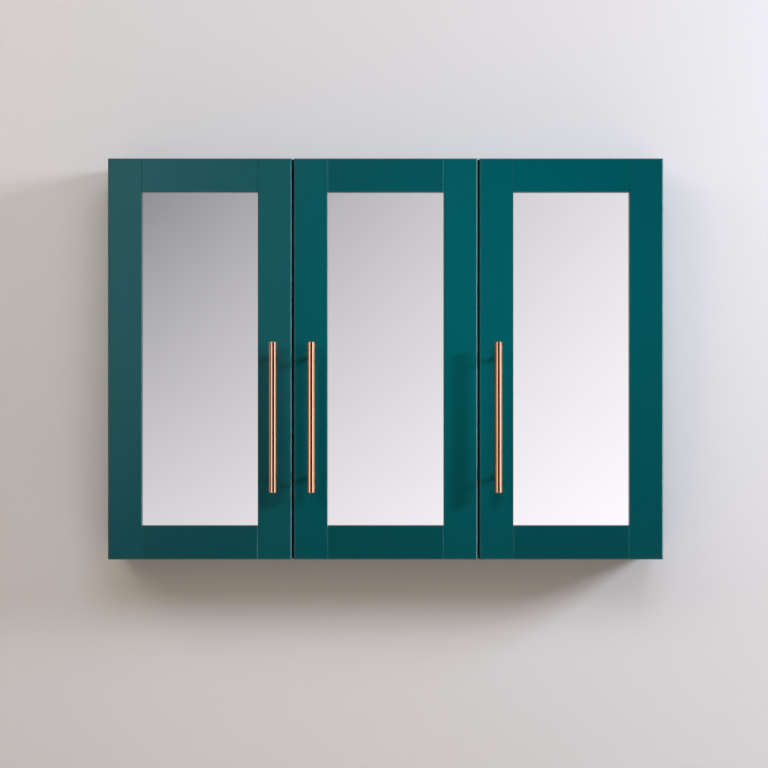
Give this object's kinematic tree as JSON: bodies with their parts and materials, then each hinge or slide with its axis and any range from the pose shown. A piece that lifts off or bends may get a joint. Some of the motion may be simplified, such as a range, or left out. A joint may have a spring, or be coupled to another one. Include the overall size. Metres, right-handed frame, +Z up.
{
  "type": "mirror cabinet",
  "caption": "Wall-hung cabinet with framed mirror doors on concealed hinges, upright bar handles and glass shelves.",
  "frame": {"origin": "centre of the four wall screws, on the surface of the wall", "axes": "+X along the wall to the right as seen from the room, +Y into the wall, +Z up; the doors face -Y"},
  "size_m": [0.9, 0.185, 0.65],
  "materials": {
    "door_paint": "satin dark teal paint",
    "carcass_board": "satin dark teal paint",
    "back_board": "matt pale grey foil",
    "dowel_wood": "bare beech",
    "mirror_glass": "silvered flat glass",
    "shelf_glass": "clear with polished edges",
    "copper": "satin copper plating on brass",
    "plated_steel": "nickel plated",
    "zinc_steel": "zinc plated",
    "hanger_plastic": "moulded",
    "buffer_rubber": "clear soft dome"
  },
  "bodies": {
    "carcass": {"left_side_panel": "carcass_board", "right_side_panel": "carcass_board", "top_panel": "carcass_board", "bottom_panel": "carcass_board", "divider_panel": "carcass_board", "back_panel": "back_board", "carcass_dowels": "dowel_wood", "wide_shelf_lower": "shelf_glass", "wide_shelf_upper": "shelf_glass", "narrow_shelf_lower": "shelf_glass", "narrow_shelf_upper": "shelf_glass", "shelf_pins": "plated_steel", "door_buffers": "buffer_rubber", "hanger_housings": "hanger_plastic", "hanger_hooks": "zinc_steel", "hanger_screws": "zinc_steel", "wall_plates": "zinc_steel", "hinge_arms": "plated_steel", "hinge_plates": "plated_steel", "hinge_screws": "zinc_steel", "hinge_arm_pins": "plated_steel"},
    "left_inner_links": {"left_inner_links": "plated_steel"},
    "left_door": {"left_hinge_stile": "door_paint", "left_handle_stile": "door_paint", "left_top_rail": "door_paint", "left_bottom_rail": "door_paint", "left_mirror": "mirror_glass", "left_backing_board": "back_board", "left_handle_bar": "copper", "left_handle_posts": "copper", "left_handle_screws": "zinc_steel", "left_hinge_cups": "plated_steel", "left_cup_screws": "zinc_steel"},
    "left_outer_links": {"left_outer_links": "plated_steel"},
    "middle_inner_links": {"middle_inner_links": "plated_steel"},
    "middle_door": {"middle_hinge_stile": "door_paint", "middle_handle_stile": "door_paint", "middle_top_rail": "door_paint", "middle_bottom_rail": "door_paint", "middle_mirror": "mirror_glass", "middle_backing_board": "back_board", "middle_handle_bar": "copper", "middle_handle_posts": "copper", "middle_handle_screws": "zinc_steel", "middle_hinge_cups": "plated_steel", "middle_cup_screws": "zinc_steel"},
    "middle_outer_links": {"middle_outer_links": "plated_steel"},
    "right_inner_links": {"right_inner_links": "plated_steel"},
    "right_door": {"right_hinge_stile": "door_paint", "right_handle_stile": "door_paint", "right_top_rail": "door_paint", "right_bottom_rail": "door_paint", "right_mirror": "mirror_glass", "right_backing_board": "back_board", "right_handle_bar": "copper", "right_handle_posts": "copper", "right_handle_screws": "zinc_steel", "right_hinge_cups": "plated_steel", "right_cup_screws": "zinc_steel"},
    "right_outer_links": {"right_outer_links": "plated_steel"}
  },
  "joints": [
    {"name": "left_inner_link_turn", "type": "hinge", "parent": "carcass", "child": "left_inner_links", "pos_m": [-0.417, -0.1225, -0.245], "axis": [0, 0, 1], "range_deg": [0, 33.3]},
    {"name": "left_door_swing", "type": "hinge", "parent": "left_inner_links", "child": "left_door", "pos_m": [-0.4388, -0.1353, -0.245], "axis": [0, 0, -1], "range_deg": [0, 128.25]},
    {"name": "left_outer_link_turn", "type": "hinge", "parent": "carcass", "child": "left_outer_links", "pos_m": [-0.4165, -0.1385, -0.245], "axis": [0, 0, 1], "range_deg": [0, 36]},
    {"name": "middle_inner_link_turn", "type": "hinge", "parent": "carcass", "child": "middle_inner_links", "pos_m": [0.116, -0.1225, -0.245], "axis": [0, 0, -1], "range_deg": [0, 33.3]},
    {"name": "middle_door_swing", "type": "hinge", "parent": "middle_inner_links", "child": "middle_door", "pos_m": [0.1378, -0.1353, -0.245], "axis": [0, 0, 1], "range_deg": [0, 128.25]},
    {"name": "middle_outer_link_turn", "type": "hinge", "parent": "carcass", "child": "middle_outer_links", "pos_m": [0.1155, -0.1385, -0.245], "axis": [0, 0, -1], "range_deg": [0, 36]},
    {"name": "right_inner_link_turn", "type": "hinge", "parent": "carcass", "child": "right_inner_links", "pos_m": [0.417, -0.1225, -0.245], "axis": [0, 0, -1], "range_deg": [0, 33.3]},
    {"name": "right_door_swing", "type": "hinge", "parent": "right_inner_links", "child": "right_door", "pos_m": [0.4388, -0.1353, -0.245], "axis": [0, 0, 1], "range_deg": [0, 128.25]},
    {"name": "right_outer_link_turn", "type": "hinge", "parent": "carcass", "child": "right_outer_links", "pos_m": [0.4165, -0.1385, -0.245], "axis": [0, 0, -1], "range_deg": [0, 36]}
  ],
  "couplings": [
    {"joint": "left_inner_link_turn", "follows": "left_door_swing", "ratio": 0.25926},
    {"joint": "left_outer_link_turn", "follows": "left_door_swing", "ratio": 0.28},
    {"joint": "middle_inner_link_turn", "follows": "middle_door_swing", "ratio": 0.25926},
    {"joint": "middle_outer_link_turn", "follows": "middle_door_swing", "ratio": 0.28},
    {"joint": "right_inner_link_turn", "follows": "right_door_swing", "ratio": 0.25926},
    {"joint": "right_outer_link_turn", "follows": "right_door_swing", "ratio": 0.28}
  ]
}
